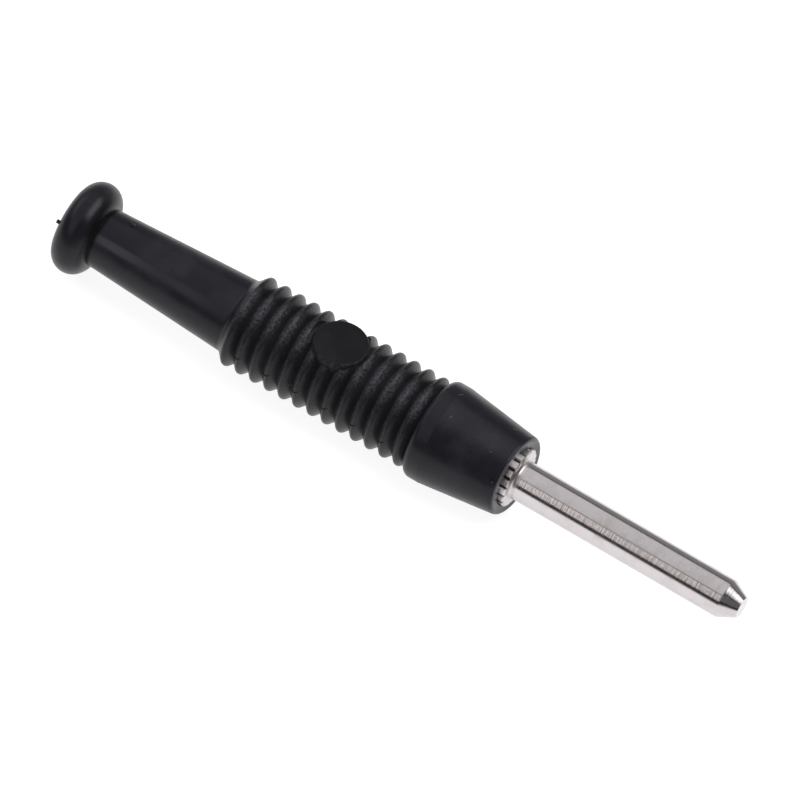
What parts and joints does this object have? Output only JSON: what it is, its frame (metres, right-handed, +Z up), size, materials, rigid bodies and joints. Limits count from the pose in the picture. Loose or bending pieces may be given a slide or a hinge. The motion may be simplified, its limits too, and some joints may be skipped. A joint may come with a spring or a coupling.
{
  "type": "banana plug",
  "caption": "Banana plug with a solid nickel-plated pin, coned tip and knurled flange, in a ribbed black sleeve that slides back along the cable to bare the wire's clamp screw.",
  "frame": {"origin": "below the middle of the plug's length, on the surface that it lies on", "axes": "+X along the plug's axis towards the pin's tip, +Z up, out of the round pad on the grip"},
  "size_m": [0.0754, 0.0102, 0.0103],
  "materials": {
    "black_pvc": "satin soft moulding",
    "nickel_plate": "nickel plated, turned",
    "screw_steel": "plain"
  },
  "bodies": {
    "contact": {"contact_pin": "nickel_plate"},
    "sleeve": {"insulating_sleeve": "black_pvc"},
    "screw": {"clamp_screw": "screw_steel"}
  },
  "joints": [
    {"name": "sleeve_slide", "type": "slide", "parent": "contact", "child": "sleeve", "axis": [-1, 0, 0], "range_m": [0, 0.029]},
    {"name": "screw_travel", "type": "slide", "parent": "contact", "child": "screw", "axis": [0, 0, -1], "range_m": [0, 0.0009]}
  ]
}
